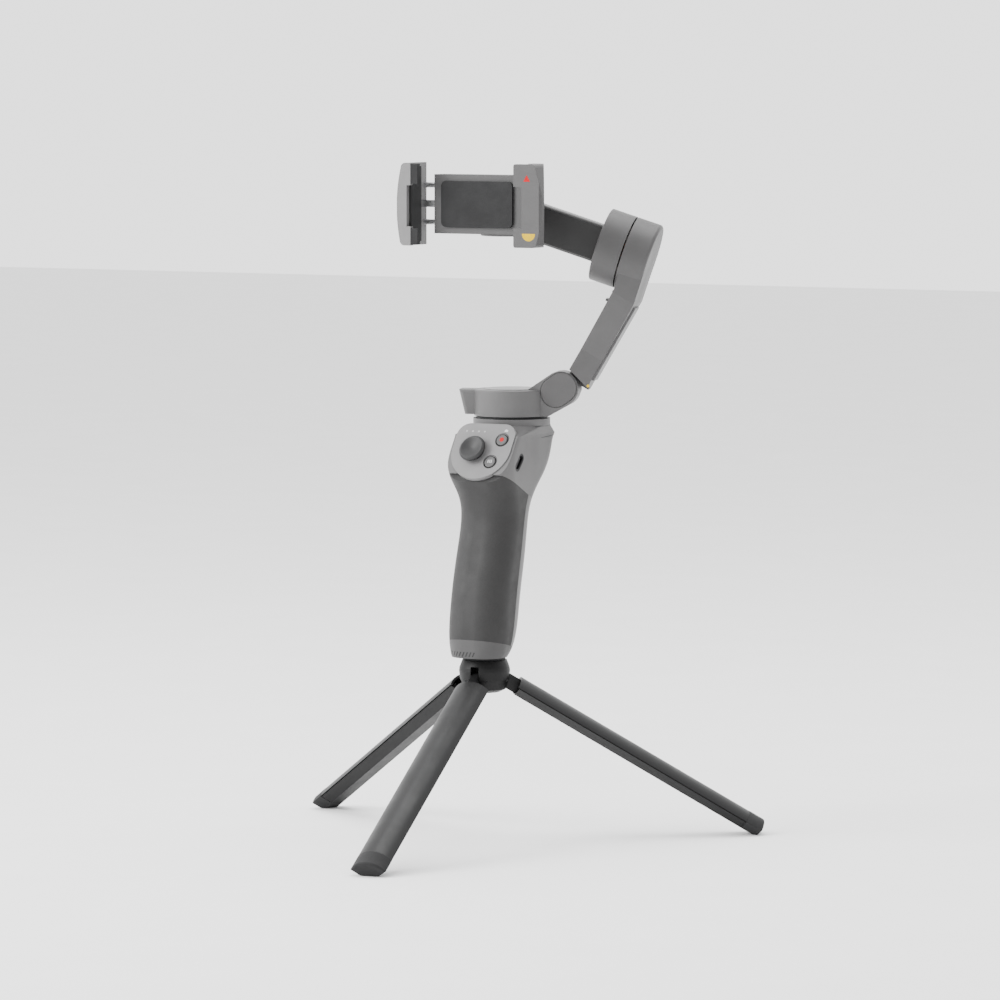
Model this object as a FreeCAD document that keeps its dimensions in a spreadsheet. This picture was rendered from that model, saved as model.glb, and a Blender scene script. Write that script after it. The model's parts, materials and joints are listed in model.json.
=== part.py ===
import FreeCAD, Part
import math
import os

import Sketcher
from FreeCAD import Placement, Rotation, Vector

# Three-axis phone gimbal on a folding table tripod.
# +X is the user's right, +Y points away from the user, +Z is up. The origin lies on the
# table, below the middle of the object's bounding box.

# ---------------------------------------------------------------- driving dimensions
DIMS = {
    # where the tripod's axis stands in the object's frame, and how far the heights below
    # are lifted so that the feet stand on z = 0
    "hub_x": 6.58, "hub_y": 28.12, "hub_z": 3.2,
    # tripod hub
    "hub_bottom": 77.0, "hub_split": 84.0, "hub_top": 94.6, "hub_radius": 13.9,
    "pin_circle": 10.5, "pin_radius": 1.4, "slot_width": 4.7, "slot_top": 91.5,
    "stud_radius": 3.1, "stud_top": 101.0,
    # legs, in a frame on the hinge pin with +X along the leg and +Z on its outer side
    "leg_azimuth": 35.7, "leg_pitch": 31.0, "leg_start": 8.0, "leg_reach": 164.2,
    "leg_half_width": 10.0, "leg_crown": 5.5, "leg_belly": 4.6, "leg_keel": 4.2,
    "leg_wall": 1.5, "foot_length": 10.0,
    # handle: the lean of its grip and the wall of its skins
    "skin": 1.7, "wall": 1.9, "grip_bottom": 96.6, "collar_top": 224.2,
    "band_foot": 220.8, "band_radius": 21.0,
    "split_front": 196.2, "split_edge": -10.9, "split_slope": 24.5,
    "hem_height": 103.6, "hem_slope": 12.4, "spine_start": 2.6,
    # control panel, in a frame with +X to the right, +Y up its slope and +Z outwards
    "panel_y": -4.1, "panel_z": 208.0, "panel_tilt": 57.0, "panel_radius": 18.0,
    "panel_top": 17.0, "panel_corner": 7.5, "panel_thick": 3.6,
    "stick_x": -3.8, "stick_y": -0.2, "stick_radius": 7.6, "stick_pivot": -8.9,
    "button_radius": 3.2, "record_x": 10.9, "record_y": 7.2, "mode_x": 7.6, "mode_y": -6.4,
    # pan motor
    "pan_y": 30.2, "plane_azimuth": 20.0, "pan_radius": 20.5, "pan_floor": 225.5,
    "pan_roof": 239.8, "motor_wall": 1.9, "shaft_radius": 2.0, "shaft_clearance": 0.02,
    # folding hinge between pan motor and arm, in the plane of the arm
    "hinge_x": 29.1, "hinge_z": 241.0, "boss_radius": 9.7, "lug_radius": 8.3,
    "arm_slope": 60.0, "arm_inner": -1.7, "arm_outer": 11.7, "arm_half_depth": 9.5,
    # roll motor, in a frame on its seam with +X along the roll axis
    "seam_x": 62.9, "seam_z": 314.5, "roll_dip": 18.5, "roll_radius": 20.2,
    "roll_thick": 14.2, "seam_gap": 0.4, "roll_arm_half_height": 10.4,
    "roll_arm_half_depth": 5.5,
    # tilt motor
    "tilt_reach": 68.0, "tilt_seam": 338.0, "tilt_radius": 15.5,
    # phone clamp, in a frame at the middle of the face that the phone rests on
    "clamp_x": -3.0, "clamp_y": -3.5, "clamp_z": 341.0, "phone_half_width": 34.9,
    "phone_thick": 9.5, "jaw_half_height": 22.3, "lip_reach": 29.6,
}

# Stations of the handle's loft, from its foot to the edge below the collar:
# height, front, back, half width, corner radius.
STATIONS = [
    (96.6, -18.4, 7.0, 15.0, 12.0),
    (104.0, -18.9, 12.3, 17.0, 13.9),
    (126.0, -17.2, 18.7, 17.2, 14.2),
    (164.0, -7.3, 27.0, 17.0, 14.0),
    (178.0, -6.2, 30.4, 17.2, 13.8),
    (186.0, -8.6, 34.0, 18.2, 13.2),
    (194.0, -13.0, 39.8, 19.3, 12.2),
    (204.0, -13.0, 45.6, 19.8, 11.2),
    (216.0, -5.0, 50.7, 20.0, 10.5),
]

doc = FreeCAD.newDocument("gimbal_stabilizer")
sheet = doc.addObject("Spreadsheet::Sheet", "Dims")


class Size:
    """A number that remembers the sheet expression that it comes from."""

    def __init__(self, value, text):
        self.value = value
        self.text = text

    def joined(self, sign, other, value):
        return Size(value, f"({self.text} {sign} {text_of(other)})")

    def __add__(self, other):
        return self.joined("+", other, self.value + number(other))

    def __sub__(self, other):
        return self.joined("-", other, self.value - number(other))

    def __mul__(self, other):
        return self.joined("*", other, self.value * number(other))

    def __truediv__(self, other):
        return self.joined("/", other, self.value / number(other))

    def __radd__(self, other):
        return as_size(other) + self

    def __rsub__(self, other):
        return as_size(other) - self

    def __rmul__(self, other):
        return as_size(other) * self

    def __neg__(self):
        return Size(-self.value, f"(-{self.text})")


def number(size):
    return size.value if isinstance(size, Size) else float(size)


def as_size(size):
    return size if isinstance(size, Size) else Size(float(size), repr(float(size)))


def text_of(size):
    return size.text if isinstance(size, Size) else repr(float(size))


def fill_sheet():
    """Write every driving dimension into the sheet and return them as sizes."""
    cells = dict(DIMS)
    for index, station in enumerate(STATIONS):
        for key, value in zip(("height", "front", "back", "half", "corner"), station):
            cells[f"station{index}_{key}"] = value
    sizes = {}
    for row, (alias, value) in enumerate(cells.items(), start=1):
        sheet.set(f"A{row}", alias)
        sheet.set(f"B{row}", str(value))
        sheet.setAlias(f"B{row}", alias)
        sizes[alias] = Size(value, f"Dims.{alias}")
    doc.recompute()
    return sizes


S = fill_sheet()
NODES = []


# ---------------------------------------------------------------- helpers
def bind(obj, prop, size):
    """Give a property its value and, where it has one, its sheet expression."""
    if isinstance(size, Size):
        obj.setExpression(prop, size.text)
    elif "." not in prop:
        setattr(obj, prop, size)


TURN = {
    "x": Rotation(Vector(0, 1, 0), 90),
    "y": Rotation(Vector(1, 0, 0), -90),
    "z": Rotation(),
}


def locate(obj, at, rotation=Rotation(), swing=0):
    """Place an object, then swing it about the Z axis of its frame by an angle."""
    x, y, z = at
    if swing:
        cosine, sine = math.cos(math.radians(swing)), math.sin(math.radians(swing))
        x, y = as_size(x) * cosine - as_size(y) * sine, as_size(x) * sine + as_size(y) * cosine
    rotation = Rotation(Vector(0, 0, 1), swing) * rotation
    obj.Placement = Placement(Vector(number(x), number(y), number(z)), rotation)
    for axis, size in zip("xyz", (x, y, z)):
        if isinstance(size, Size):
            obj.setExpression(f"Placement.Base.{axis}", size.text)


def cylinder(name, radius, low, high, at=(0, 0), axis="z", swing=0):
    """A cylinder along one axis from low to high; at gives the other two coordinates."""
    obj = doc.addObject("Part::Cylinder", name)
    bind(obj, "Radius", radius)
    bind(obj, "Height", high - low)
    centre = list(at)
    centre.insert("xyz".index(axis), low)
    locate(obj, centre, TURN[axis], swing)
    return obj


def box(name, x, y, z, swing=0):
    """A box given by its low and high coordinate on each axis."""
    obj = doc.addObject("Part::Box", name)
    for prop, (low, high) in zip(("Length", "Width", "Height"), (x, y, z)):
        bind(obj, prop, high - low)
    locate(obj, (x[0], y[0], z[0]), Rotation(), swing)
    return obj


def fuse(name, *shapes):
    obj = doc.addObject("Part::MultiFuse", name)
    obj.Shapes = list(shapes)
    obj.Refine = True
    return obj


def common(name, *shapes):
    obj = doc.addObject("Part::MultiCommon", name)
    obj.Shapes = list(shapes)
    return obj


def cut(name, base, *tools):
    obj = doc.addObject("Part::Cut", name)
    obj.Base = base
    obj.Tool = tools[0] if len(tools) == 1 else fuse(name + "_tools", *tools)
    obj.Refine = True
    return obj


def ring(name, outer, inner, low, high, at=(0, 0), axis="z"):
    return cut(
        name,
        cylinder(name + "_outer", outer, low, high, at, axis),
        cylinder(name + "_bore", inner, low - 1, high + 1, at, axis),
    )


def add_point_constraints(sketch, geo, pos, point, tag):
    """Hold one vertex at its coordinates, each bound to the sheet where it has a size."""
    for kind, axis_line, size in (("DistanceX", -2, point[0]), ("DistanceY", -1, point[1])):
        if not isinstance(size, Size) and size == 0:
            sketch.addConstraint(Sketcher.Constraint("PointOnObject", geo, pos, axis_line))
            continue
        index = sketch.addConstraint(
            Sketcher.Constraint(kind, -1, 1, geo, pos, number(size)))
        if isinstance(size, Size):
            name = f"{kind}_{tag}"
            sketch.renameConstraint(index, name)
            sketch.setExpression(f"Constraints.{name}", size.text)


def arc_centre(start, end, radius):
    """Centre of the arc from start to end that bulges to the right of the way there."""
    middle = (start + end) * 0.5
    chord = end - start
    height = math.sqrt(max(radius * radius - chord.Length ** 2 / 4, 0.0))
    return middle + Vector(-chord.y, chord.x, 0).normalize() * height


def hold_radius(sketch, geo, radius, name):
    index = sketch.addConstraint(Sketcher.Constraint("Radius", geo, abs(number(radius))))
    if isinstance(radius, Size):
        sketch.renameConstraint(index, name)
        sketch.setExpression(f"Constraints.{name}", f"abs({radius.text})")


def draw_outline(sketch, outline):
    """Draw a closed outline counter-clockwise: each entry is x, y and, for an arc that
    leads to it, a radius, which is negative where the arc is hollow."""
    points = [Vector(number(p[0]), number(p[1]), 0) for p in outline]
    count = len(outline)
    ends = []
    for i in range(count):
        start, end = points[i - 1], points[i]
        if len(outline[i]) == 2:
            sketch.addGeometry(Part.LineSegment(start, end), False)
            ends.append((1, 2))
            continue
        radius = abs(number(outline[i][2]))
        hollow = number(outline[i][2]) < 0
        if hollow:
            start, end = end, start
        centre = arc_centre(start, end, radius)
        first = math.atan2(start.y - centre.y, start.x - centre.x)
        last = math.atan2(end.y - centre.y, end.x - centre.x)
        circle = Part.Circle(centre, Vector(0, 0, 1), radius)
        sketch.addGeometry(Part.ArcOfCircle(circle, first, last), False)
        ends.append((2, 1) if hollow else (1, 2))
    for i in range(count):
        following = (i + 1) % count
        sketch.addConstraint(Sketcher.Constraint(
            "Coincident", i, ends[i][1], following, ends[following][0]))
        add_point_constraints(sketch, i, ends[i][1], outline[i], f"p{i}")
        if len(outline[i]) == 3:
            hold_radius(sketch, i, outline[i][2], f"radius_p{i}")


def draw_circle(sketch, centre, radius):
    middle = Vector(number(centre[0]), number(centre[1]), 0)
    geo = sketch.addGeometry(Part.Circle(middle, Vector(0, 0, 1), number(radius)), False)
    add_point_constraints(sketch, geo, 3, centre, f"c{geo}")
    hold_radius(sketch, geo, radius, f"radius_c{geo}")


def origin_plane(body, role):
    return next(f for f in body.Origin.OriginFeatures if f.Role == role)


def extrude(name, plane, outline, low, high, holes=()):
    """A body padded from a sketch on one of its origin planes, from low to high."""
    body = doc.addObject("PartDesign::Body", name)
    sketch = body.newObject("Sketcher::SketchObject", name + "_sketch")
    sketch.AttachmentSupport = (origin_plane(body, plane + "_Plane"), [""])
    sketch.MapMode = "FlatFace"
    # the XZ plane faces -Y, so its pad starts at the high side
    start = -high if plane == "XZ" else low
    offset = number(start)
    sketch.AttachmentOffset = Placement(Vector(0, 0, offset), Rotation())
    if isinstance(start, Size):
        sketch.setExpression("AttachmentOffset.Base.z", start.text)
    if outline:
        draw_outline(sketch, outline)
    for centre_x, centre_y, radius in holes:
        draw_circle(sketch, (centre_x, centre_y), radius)
    pad = body.newObject("PartDesign::Pad", name + "_pad")
    pad.Profile = sketch
    bind(pad, "Length", high - low)
    return body


def revolve(name, profile):
    """A body turned about its own Z axis from a profile of radius and height."""
    body = doc.addObject("PartDesign::Body", name)
    sketch = body.newObject("Sketcher::SketchObject", name + "_sketch")
    sketch.AttachmentSupport = (origin_plane(body, "XZ_Plane"), [""])
    sketch.MapMode = "FlatFace"
    draw_outline(sketch, profile)
    turned = body.newObject("PartDesign::Revolution", name + "_turn")
    turned.Profile = sketch
    turned.ReferenceAxis = (sketch, ["V_Axis"])
    turned.Angle = 360
    return body


def rounded(name, shape, radius, pick):
    """Round the edges of a shape that pick accepts."""
    doc.recompute()
    obj = doc.addObject("Part::Fillet", name)
    obj.Base = shape
    edges = [i for i, edge in enumerate(shape.Shape.Edges, start=1) if pick(edge)]
    if not edges:
        raise ValueError(f"no edge to round on {name}")
    obj.Edges = [(i, number(radius), number(radius)) for i in edges]
    return obj


def along(edge, axis):
    """True for a straight edge that runs along the axis."""
    if edge.Curve.TypeId != "Part::GeomLine":
        return False
    return edge.Curve.Direction.cross(axis).Length < 1e-6


def moved(obj, placement):
    """Carry a shape into another frame; its own placement stays as it is."""
    group = doc.addObject("Part::Compound", obj.Name + "_moved")
    group.Links = [obj]
    group.Placement = placement
    return group


def node(label, obj, frame):
    """Name a finished sub-part and put it in its frame."""
    if obj.TypeId in ("Part::Cylinder", "Part::Box"):
        obj = moved(obj, frame)
    obj.Label = label
    obj.Placement = frame
    NODES.append(obj)
    return obj


# ---------------------------------------------------------------- frames
def turn(axis, angle):
    return Placement(Vector(), Rotation(Vector(*axis), angle))


def shift(x, y, z):
    return Placement(Vector(x, y, z), Rotation())


HUB = shift(DIMS["hub_x"], DIMS["hub_y"], DIMS["hub_z"])
PAN = HUB * shift(0, DIMS["pan_y"], 0) * turn((0, 0, 1), DIMS["plane_azimuth"])
PANEL = HUB * shift(0, DIMS["panel_y"], DIMS["panel_z"]) * turn((1, 0, 0), DIMS["panel_tilt"])
ROLL = PAN * shift(DIMS["seam_x"], 0, DIMS["seam_z"]) * turn((0, 1, 0), DIMS["roll_dip"])
CLAMP = HUB * shift(DIMS["clamp_x"], DIMS["clamp_y"], DIMS["clamp_z"])
tilt_foot = ROLL.multVec(Vector(-DIMS["tilt_reach"], 0, 0))
TILT = shift(tilt_foot.x, tilt_foot.y, DIMS["tilt_seam"] + DIMS["hub_z"])


def leg_frame(index):
    azimuth = DIMS["leg_azimuth"] + 120 * index
    return (HUB * turn((0, 0, 1), azimuth) * shift(DIMS["pin_circle"], 0, DIMS["hub_split"])
            * turn((0, 1, 0), DIMS["leg_pitch"]))


# ---------------------------------------------------------------- tripod
LEGS = [DIMS["leg_azimuth"] + 120 * index for index in range(3)]
PIN_HALF_LENGTH = 6.5
HUB_BORE_CLEARANCE = 0.1
STUD_HEAD_RADIUS = 5.0
STUD_HEAD_HEIGHT = 2.4


def hinge_pin(name, azimuth):
    return cylinder(name, S["pin_radius"], -PIN_HALF_LENGTH, PIN_HALF_LENGTH,
                    (S["pin_circle"], S["hub_split"]), "y", azimuth)


def hub_slots(name):
    """The three radial slots that the leg knuckles swing in, and the pins' grooves."""
    tools = []
    for index, azimuth in enumerate(LEGS):
        tools.append(box(
            f"{name}_slot{index}", (S["pin_circle"] - 4.4, S["pin_circle"] + 10),
            (-S["slot_width"] / 2, S["slot_width"] / 2),
            (S["hub_bottom"] - 2, S["slot_top"]), azimuth))
        tools.append(hinge_pin(f"{name}_groove{index}", azimuth))
    return tools


def tripod_hub():
    """Crown and base of the hub, clamped together over the hinge pins."""
    split, top, radius = S["hub_split"], S["hub_top"], S["hub_radius"]
    bore = S["stud_radius"] + HUB_BORE_CLEARANCE
    head = STUD_HEAD_RADIUS + HUB_BORE_CLEARANCE
    crown = revolve("crown_blank", [
        (head, split), (radius - 0.5, split), (radius, top - 6), (radius - 0.2, top - 4.2),
        (radius - 1.8, top), (bore, top), (bore, split + 2.5), (head, split + 2.5)])
    node("hub_crown", cut("crown", crown, *hub_slots("crown")), HUB)
    base = revolve("base_blank", [
        (0, S["hub_bottom"]), (8.2, S["hub_bottom"]), (11.4, S["hub_bottom"] + 1.6),
        (radius - 0.7, split), (0, split)])
    node("hub_base", cut("base", base, *hub_slots("base")), HUB)
    pins = doc.addObject("Part::Compound", "pins")
    pins.Links = [hinge_pin(f"pin{index}", azimuth) for index, azimuth in enumerate(LEGS)]
    node("leg_hinge_pins", pins, HUB)
    node("hub_top_pad", ring("top_pad", radius - 2.6, bore, top, S["grip_bottom"]), HUB)
    thread = cylinder("stud_thread", S["stud_radius"], split, S["stud_top"])
    head_disc = cylinder("stud_head", STUD_HEAD_RADIUS, split, split + STUD_HEAD_HEIGHT)
    node("tripod_stud", fuse("stud", thread, head_disc), HUB)


def vault_radius(half, rise):
    return (half ** 2 + rise ** 2) / (2 * rise)


def leg(index):
    """One leg: a vaulted outer shell, a keel-shaped rail with the knuckle, and a foot."""
    tag = str(index + 1)
    frame = leg_frame(index)
    half, crown, belly = S["leg_half_width"], S["leg_crown"], S["leg_belly"]
    keel, wall = S["leg_keel"], S["leg_wall"]
    vault = vault_radius(number(half), number(crown))
    inner_vault = vault_radius(number(half) - number(wall), number(crown) - number(wall))
    end = S["leg_reach"] - S["foot_length"]
    shell = extrude("leg_shell_blank" + tag, "YZ", [
        (-half + wall, 0), (half - wall, 0, -inner_vault), (half, 0), (0, crown, vault),
        (-half, 0, vault)], S["leg_start"], end)
    node("leg_shell_" + tag, shell, frame)
    # the rail closes the shell's underside; its rim sits inside the shell
    rim, lip, inside = half - wall - 1.8, -0.4, half - wall - 2.9
    rail = extrude("rail_blank" + tag, "YZ", [
        (keel, -belly), (half - 0.6, lip), (rim, lip), (rim, 1.0), (inside, 1.0),
        (inside, lip - 0.6), (keel - 0.7, -belly + wall), (-keel + 0.7, -belly + wall),
        (-inside, lip - 0.6), (-inside, 1.0), (-rim, 1.0), (-rim, lip), (-half + 0.6, lip),
        (-keel, -belly)], S["leg_start"] + 1, end - 0.3)
    web = S["slot_width"] / 2 - 0.3
    eye = cylinder("rail_eye" + tag, 4.0, -web, web, (0, 0), "y")
    tongue = box("rail_tongue" + tag, (2, 18), (-web, web), (-4.0, 3.0))
    neck = box("rail_neck" + tag, (0, S["leg_start"] - 0.1), (-web, web), (-4.0, 4.0))
    bore = cylinder("rail_bore" + tag, S["pin_radius"] + 0.05, -4, 4, (0, 0), "y")
    knuckle = cut("rail" + tag, fuse("rail_full" + tag, rail, eye, tongue, neck), bore)
    node("leg_rail_" + tag, knuckle, frame)
    # the rubber foot is cut level with the table
    foot = extrude("foot_blank" + tag, "YZ", [
        (-keel, -belly), (keel, -belly), (half + 0.1, 0), (0, crown + 0.1, vault),
        (-half - 0.1, 0, vault)], end, S["leg_reach"])
    foot = rounded("foot_soft" + tag, foot, 1.2,
                   lambda e: e.CenterOfMass.x > number(S["leg_reach"]) - 0.01)
    table = moved(box("table" + tag, (-400, 400), (-400, 400), (-50, 0)), frame.inverse())
    node("leg_foot_" + tag, cut("foot" + tag, foot, table), frame)


# ---------------------------------------------------------------- handle
LAST = len(STATIONS) - 1


def section(name, index, inset):
    """A rounded rectangle across the handle at one station, inset from its outside."""
    half = S[f"station{index}_half"] - inset
    front = S[f"station{index}_front"] + inset
    back = S[f"station{index}_back"] - inset
    corner = S[f"station{index}_corner"] - inset
    sketch = doc.addObject("Sketcher::SketchObject", name)
    draw_outline(sketch, [
        (-half + corner, front, corner), (half - corner, front), (half, front + corner, corner),
        (half, back - corner), (half - corner, back, corner), (-half + corner, back),
        (-half, back - corner, corner), (-half, front + corner)])
    locate(sketch, (0, 0, S[f"station{index}_height"]))
    return sketch


def handle_loft(name, inset, first=0, last=LAST):
    loft = doc.addObject("Part::Loft", name)
    loft.Sections = [section(f"{name}_{i}", i, inset) for i in range(first, last + 1)]
    loft.Solid = True
    return loft


def collar_loft(name, inset):
    """A shoulder from the last station up to the round band below the pan motor."""
    radius = S["band_radius"] - inset
    top = doc.addObject("Sketcher::SketchObject", name + "_top")
    edge, rim, centre = radius * 0.02, radius * 0.9998, S["pan_y"]
    draw_outline(top, [
        (-edge, centre - rim, radius), (edge, centre - rim), (rim, centre - edge, radius),
        (rim, centre + edge), (edge, centre + rim, radius), (-edge, centre + rim),
        (-rim, centre + edge, radius), (-rim, centre - edge)])
    locate(top, (0, 0, S["band_foot"]))
    loft = doc.addObject("Part::Loft", name)
    loft.Sections = [section(name + "_foot", LAST, inset), top]
    loft.Solid = True
    loft.Ruled = True
    return loft


def tilted_box(name, y, z, slope, up, reach=160):
    """A large box whose lower (or upper) face passes a point at a slope towards +Y."""
    low = 0 if up else -reach
    block = box(name, (-reach, reach), (-reach, reach), (low, low + reach))
    return moved(block, shift(0, number(y), number(z)) * turn((1, 0, 0), slope))


def panel_outline(shrink=0):
    """The control panel: a square top with round corners on a half-round foot."""
    radius, top, corner = S["panel_radius"] - shrink, S["panel_top"] - shrink, S["panel_corner"]
    return [(-radius, 1), (0, 1 - radius, radius), (radius, 1, radius), (radius, top - corner),
            (radius - corner, top, corner), (-radius + corner, top), (-radius, top - corner, corner)]


def in_panel(obj):
    """Move a tool drawn in the panel's frame into the hub's frame."""
    return moved(obj, HUB.inverse() * PANEL)


def panel_holes(grow=0.0):
    return [(S["stick_x"], S["stick_y"], 5.6 + grow),
            (S["record_x"], S["record_y"], S["button_radius"] + 0.5 + grow),
            (S["mode_x"], S["mode_y"], S["button_radius"] + 0.5 + grow)]


PORT = HUB * shift(0, 3.5, 202) * turn((1, 0, 0), 48)
ZOOM = HUB * shift(0, 6, 203) * turn((1, 0, 0), DIMS["panel_tilt"])
TRIGGER_PIVOT = (45.0, 208.5)
CAVITY_DEPTH = -5.4
FACE_DEPTH = -0.7
SLEEVE_DEPTH = -2.4
LIGHTS = [(-12.3 + 3.7 * index, 12.1) for index in range(4)]


def stadium(half_length, radius):
    """A slot's outline with its length along the first axis."""
    return [(half_length - radius, -radius), (half_length, 0, radius),
            (half_length - radius, radius, radius), (-half_length + radius, radius),
            (-half_length, 0, radius), (-half_length + radius, -radius, radius)]


def grip():
    """Structural core, rubber sleeve, spine strip and foot cap of the grip."""
    outer = handle_loft("handle_outer", 0)
    skin = handle_loft("handle_skin", S["skin"])
    bore = handle_loft("handle_bore", S["skin"] + S["wall"])
    split_low = tilted_box("below_split", S["split_edge"], S["split_front"],
                           -DIMS["split_slope"], False)
    hem_high = tilted_box("above_hem", -4.5, S["hem_height"], -DIMS["hem_slope"], True)
    hem_low = tilted_box("below_hem", -4.5, S["hem_height"], -DIMS["hem_slope"], False)
    plug = in_panel(extrude("panel_plug", "XY", panel_outline(), -S["panel_thick"], S["wall"] * 5))
    front = in_panel(box("panel_front", (-60, 60), (-60, 60), (-S["panel_thick"], 60)))
    rim = in_panel(box("sleeve_front", (-60, 60), (-60, 60), (SLEEVE_DEPTH, 60)))
    floor = box("core_floor", (-60, 60), (-80, 80), (60, S["grip_bottom"] + 2.4))
    insert_hole = cylinder("insert_hole", 4.7, 90, 106)
    core_solid = cut("core_solid", common("core_zone", skin, split_low), floor)
    core = cut("core", core_solid, bore, insert_hole, front)
    node("grip_core", core, HUB)
    # the sleeve laps over the core's front edge, round the control panel
    covered = cut("covered_core", core_solid, front)
    layer = cut("layer", common("layer_zone", outer, split_low), covered, plug, rim)
    spine_zone = box("spine_zone", (-60, 60), (S["spine_start"], 80), (60, 260))
    spine_zone = moved(spine_zone, shift(0, -26.3, 0) * turn((1, 0, 0), -12.5))
    upper = common("layer_above_hem", layer, hem_high)
    node("spine_cover", common("spine", upper, spine_zone), HUB)
    node("grip_sleeve", cut("sleeve", upper, spine_zone), HUB)
    cap = cut("cap", common("cap_zone", layer, hem_low), insert_hole)
    node("base_cap", cap, HUB)
    insert = ring("insert", 4.7, S["stud_radius"] + 0.05, S["grip_bottom"], 105)
    node("threaded_insert", insert, HUB)
    cell = cylinder("cell", 9.2, -32.5, 32.5)
    tip = cylinder("cell_tip", 2.8, 32.5, 33.6)
    battery = fuse("battery", cell, tip)
    node("battery_cell", battery, HUB * shift(0, 4.1, 140.5) * turn((1, 0, 0), -12.5))
    return outer, split_low, plug


def head(outer, split_low, plug):
    """The head's shell, closed by the control panel, with openings for what it carries."""
    collar = collar_loft("collar_outer", 0)
    band = cylinder("collar_band", S["band_radius"], S["band_foot"], S["collar_top"],
                    (0, S["pan_y"]))
    full = fuse("head_full", cut("head_low", outer, split_low), collar, band)
    face = in_panel(box("face_plane", (-60, 60), (-60, 60), (FACE_DEPTH, 60)))
    depth = in_panel(box("depth_plane", (-60, 60), (-60, 60), (CAVITY_DEPTH, 60)))
    inside = handle_loft("head_inner", 2.4, 4)
    neck = cylinder("neck_cavity", 16.0, 200, S["collar_top"] - 2.2, (0, S["pan_y"]))
    cavity = cut("cavity", fuse("cavity_zone", inside, neck), depth)
    cover_zone = extrude("cover_zone", "YZ", [
        (27.7, 213.8), (60, 215.4), (60, 220.4), (20.6, 220.4)], 8, 40)
    cover_skin = fuse("cover_skin", handle_loft("cover_skin_low", 0.25, LAST - 1),
                      collar_loft("cover_skin_high", 0.25))
    cover_back = fuse("cover_back", handle_loft("cover_back_low", 1.3, LAST - 1),
                      collar_loft("cover_back_high", 1.3))
    pocket = cut("cover_pocket", common("cover_region", full, cover_zone), cover_back)
    holes = [in_panel(extrude("face_holes", "XY", None, -12, 5, panel_holes()))]
    usb_hole = extrude("usb_hole", "YZ", stadium(4.75, 1.85), 8, 30)
    usb_hole = moved(usb_hole, HUB.inverse() * PORT)
    zoom_hole = box("zoom_hole", (-30, -16), (-7.0, 7.0), (-2.6, 2.6))
    zoom_hole = moved(zoom_hole, HUB.inverse() * ZOOM)
    trigger_hole = box("trigger_hole", (-6.2, 6.2), (34, 60), (188.6, 213))
    post_hole = cylinder("post_hole", 5.3, 200, 230, (0, S["pan_y"]))
    shell = cut("head_open", full, face, cavity, plug, pocket, usb_hole, zoom_hole,
                trigger_hole, post_hole, *holes)
    ears = []
    for side in (-1, 1):
        low = 6.2 if side > 0 else -9.2
        ear = box(f"ear{side + 1}", (low, low + 3), (42.2, 46.5), (205.6, 211))
        ears.append(ear)
    pivot = cylinder("pivot_hole", 1.25, -9.5, 9.5, TRIGGER_PIVOT, "x")
    node("head_shell", cut("head", fuse("head_eared", shell, *ears), pivot), HUB)
    node("port_cover", cut("port_lid", common("port_zone", cover_skin, cover_zone), cover_back), HUB)


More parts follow.
